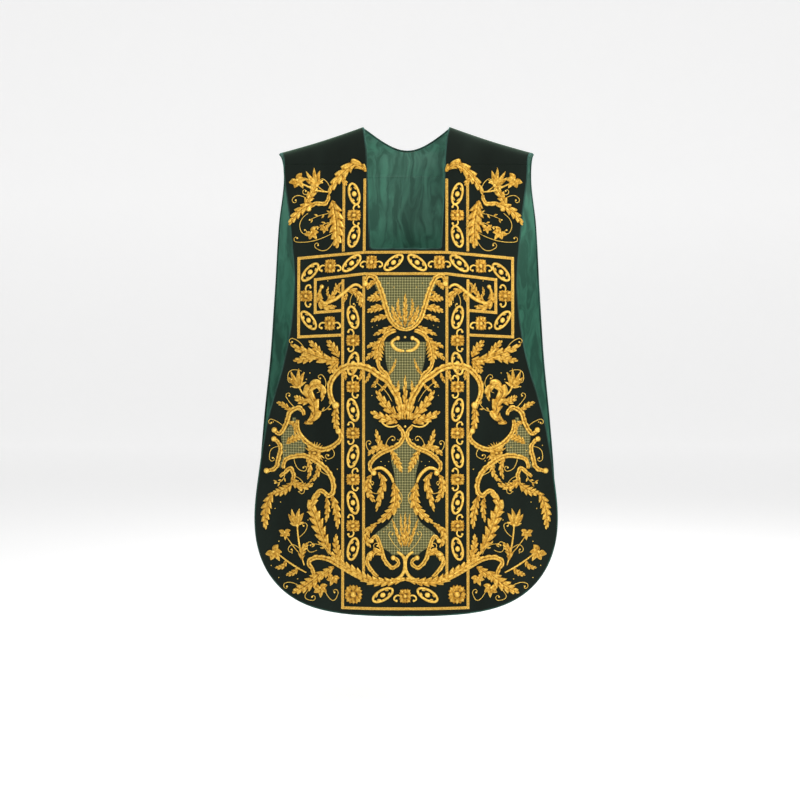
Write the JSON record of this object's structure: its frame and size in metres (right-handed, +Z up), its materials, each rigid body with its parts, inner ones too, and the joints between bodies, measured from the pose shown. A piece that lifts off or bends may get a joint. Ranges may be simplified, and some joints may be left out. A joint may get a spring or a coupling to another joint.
{
  "type": "chasuble",
  "caption": "Fiddleback chasuble: stiff embroidered front and back panels hung from a velvet shoulder yoke, with piped edges, gold braids and lattice grounds.",
  "frame": {"origin": "centre of the neck opening, 16 mm under the shoulder crest's highest point", "axes": "+X towards the wearer's left, -Y towards the front, +Z up"},
  "size_m": [0.6854, 0.2682, 1.1233],
  "materials": {
    "velvet": "silk velvet, very dark green, short dense pile",
    "interlining": "stiff natural canvas",
    "satin_lining": "watered green satin, soft gloss",
    "piping": "corded piping, dull sheen",
    "gold_braid": "metal-thread braid, satin gloss",
    "lattice_ground": "laid metal thread couched in a lattice",
    "gold_embroidery": "raised metal-thread embroidery, satin gloss"
  },
  "bodies": {
    "shoulders": {"left_shoulder_velvet": "velvet", "right_shoulder_velvet": "velvet", "left_shoulder_interlining": "interlining", "right_shoulder_interlining": "interlining", "left_shoulder_lining": "satin_lining", "right_shoulder_lining": "satin_lining", "left_neck_piping": "piping", "right_neck_piping": "piping", "left_armhole_piping": "piping", "right_armhole_piping": "piping"},
    "front_panel": {"front_velvet": "velvet", "front_interlining": "interlining", "front_lining": "satin_lining", "front_edge_piping": "piping", "front_neck_piping": "piping", "left_breast_outer_braid": "gold_braid", "left_breast_inner_braid": "gold_braid", "right_breast_outer_braid": "gold_braid", "right_breast_inner_braid": "gold_braid", "cross_outer_braid": "gold_braid", "cross_inner_braid": "gold_braid", "column_outer_braid": "gold_braid", "left_column_inner_braid": "gold_braid", "right_column_inner_braid": "gold_braid", "bell_lattice": "lattice_ground", "middle_lattice": "lattice_ground", "lower_lattice": "lattice_ground", "left_side_lattice": "lattice_ground", "right_side_lattice": "lattice_ground"},
    "back_panel": {"back_velvet": "velvet", "back_interlining": "interlining", "back_lining": "satin_lining", "back_edge_piping": "piping", "back_column_outer_braid": "gold_braid", "back_left_inner_braid": "gold_braid", "back_right_inner_braid": "gold_braid", "back_upper_lattice": "lattice_ground", "back_middle_lattice": "lattice_ground", "back_lower_lattice": "lattice_ground"}
  },
  "joints": [
    {"name": "front_lift", "type": "hinge", "parent": "shoulders", "child": "front_panel", "pos_m": [0, -0.072, -0.078], "axis": [-1, 0, 0], "range_deg": [0, 70]},
    {"name": "back_lift", "type": "hinge", "parent": "shoulders", "child": "back_panel", "pos_m": [0, 0.092, -0.085], "axis": [1, 0, 0], "range_deg": [0, 70]}
  ]
}
